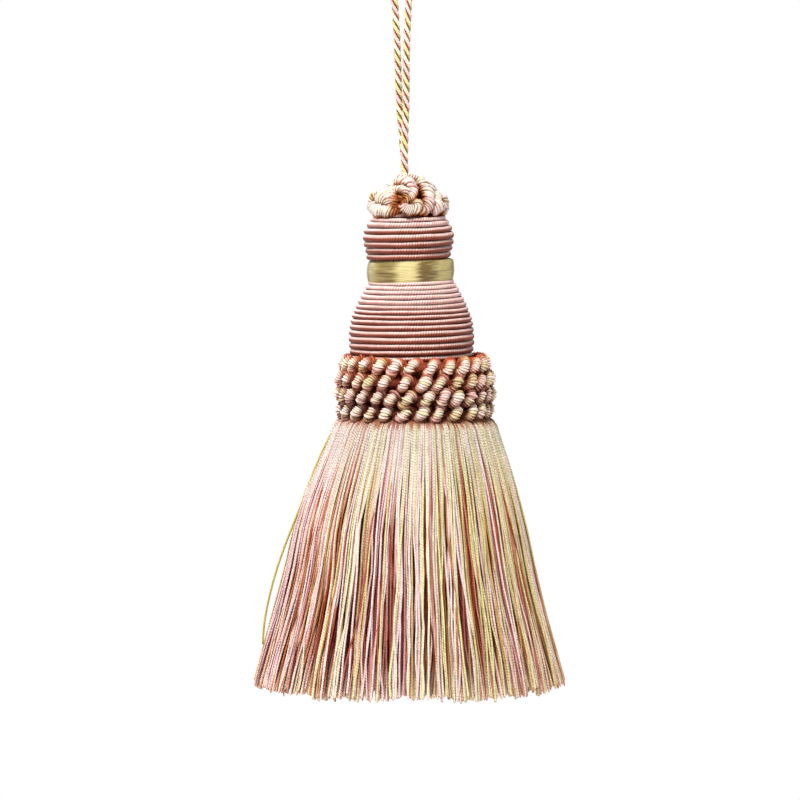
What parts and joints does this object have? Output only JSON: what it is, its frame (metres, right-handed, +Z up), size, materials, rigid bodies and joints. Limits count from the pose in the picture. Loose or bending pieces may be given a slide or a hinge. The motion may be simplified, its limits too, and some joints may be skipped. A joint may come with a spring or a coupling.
{
  "type": "key tassel",
  "caption": "Hanging tassel with a cord loop, a looped rosette, a gimp-wound head with a floss neck band, a rope collar and a flared cut skirt.",
  "frame": {"origin": "top of the hanging loop, at the inside of its crown, where it bears on the hook, key or knob that it hangs from", "axes": "+Z up along the hanging cord, -Y towards the front that the picture shows, +X to the right seen from the front"},
  "size_m": [0.0774, 0.078, 0.2054],
  "materials": {
    "cord_yarn": "three-ply twisted cord, two gold plies and one pink, soft sheen",
    "rope_yarn": "two-ply rope wrapped in cream, pink and rust threads, satin sheen",
    "pink_gimp": "dusty pink gimp, fine threads wound round a core, satin sheen",
    "gold_floss": "smooth gold silk floss, strong satin sheen round the neck",
    "fringe_yarn": "twisted yarns in pink, cream, pale gold and rust, soft sheen"
  },
  "bodies": {
    "root": {"hanging_cord": "cord_yarn", "rosette": "rope_yarn", "upper_winding": "pink_gimp", "neck_band": "gold_floss", "lower_winding": "pink_gimp", "collar": "rope_yarn", "skirt": "fringe_yarn"}
  },
  "joints": []
}
